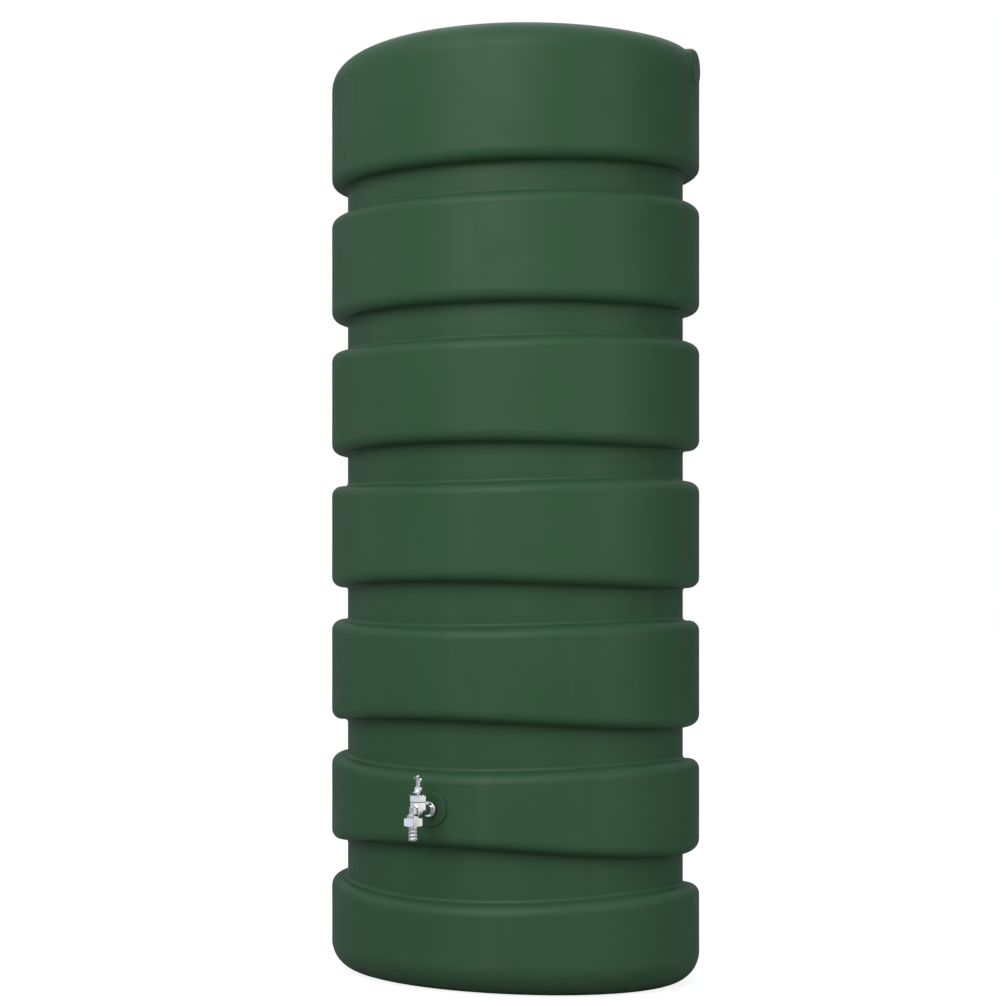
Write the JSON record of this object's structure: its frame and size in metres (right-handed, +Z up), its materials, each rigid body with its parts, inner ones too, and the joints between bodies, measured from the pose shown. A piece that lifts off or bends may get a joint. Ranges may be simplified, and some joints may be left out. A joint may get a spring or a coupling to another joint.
{
  "type": "rain barrel",
  "caption": "Tall oval rain barrel with waisted bands and a domed top, screwed filler lid and a chrome tap with tee handle, union nut and hose tail.",
  "frame": {"origin": "middle of the tank's flat base, on the ground", "axes": "+Z up; +X along the long axis of the oval plan; the tap is on the -Y side"},
  "size_m": [0.773, 0.665, 1.8732],
  "materials": {
    "tank_green": "satin rotomoulded",
    "lid_green": "satin",
    "black_rubber": "matt",
    "packing": "matt",
    "brass": "machined",
    "chrome": "polished",
    "steel": "satin"
  },
  "bodies": {
    "tank": {"tank_body": "tank_green", "tap_insert": "brass", "inlet_washer": "black_rubber", "tap_body": "chrome", "bonnet_seal": "black_rubber", "bonnet": "chrome", "gland_packing": "packing", "gland_nut": "chrome", "tail_washer": "black_rubber", "hose_tail": "chrome"},
    "lid_ring": {"lid_gasket": "black_rubber"},
    "lid_cap": {"lid": "lid_green"},
    "tap_handle": {"spindle": "brass", "handle": "chrome", "handle_screw": "steel"},
    "valve": {"valve_carrier": "brass", "valve_washer": "black_rubber", "valve_screw": "brass"},
    "coupling_nut": {"union_nut": "chrome"}
  },
  "joints": [
    {"name": "lid_lift", "type": "slide", "parent": "tank", "child": "lid_ring", "axis": [0, 0, 1], "range_m": [0, 0.25]},
    {"name": "lid_turn", "type": "hinge", "parent": "lid_ring", "child": "lid_cap", "pos_m": [0, 0.06, 1.86], "axis": [0, 0, 1], "range_deg": [0, 360]},
    {"name": "handle_turn", "type": "hinge", "parent": "tank", "child": "tap_handle", "pos_m": [0, -0.338, 0.38], "axis": [0, 0, 1], "range_deg": [0, 1080]},
    {"name": "valve_lift", "type": "slide", "parent": "tank", "child": "valve", "axis": [0, 0, 1], "range_m": [0, 0.005]},
    {"name": "union_nut_spin", "type": "hinge", "parent": "tank", "child": "coupling_nut", "pos_m": [0, -0.354, 0.32], "axis": [0, 0, 1], "continuous": true}
  ],
  "couplings": [
    {"joint": "valve_lift", "follows": "handle_turn", "m_per_rad": 0.00026526}
  ]
}
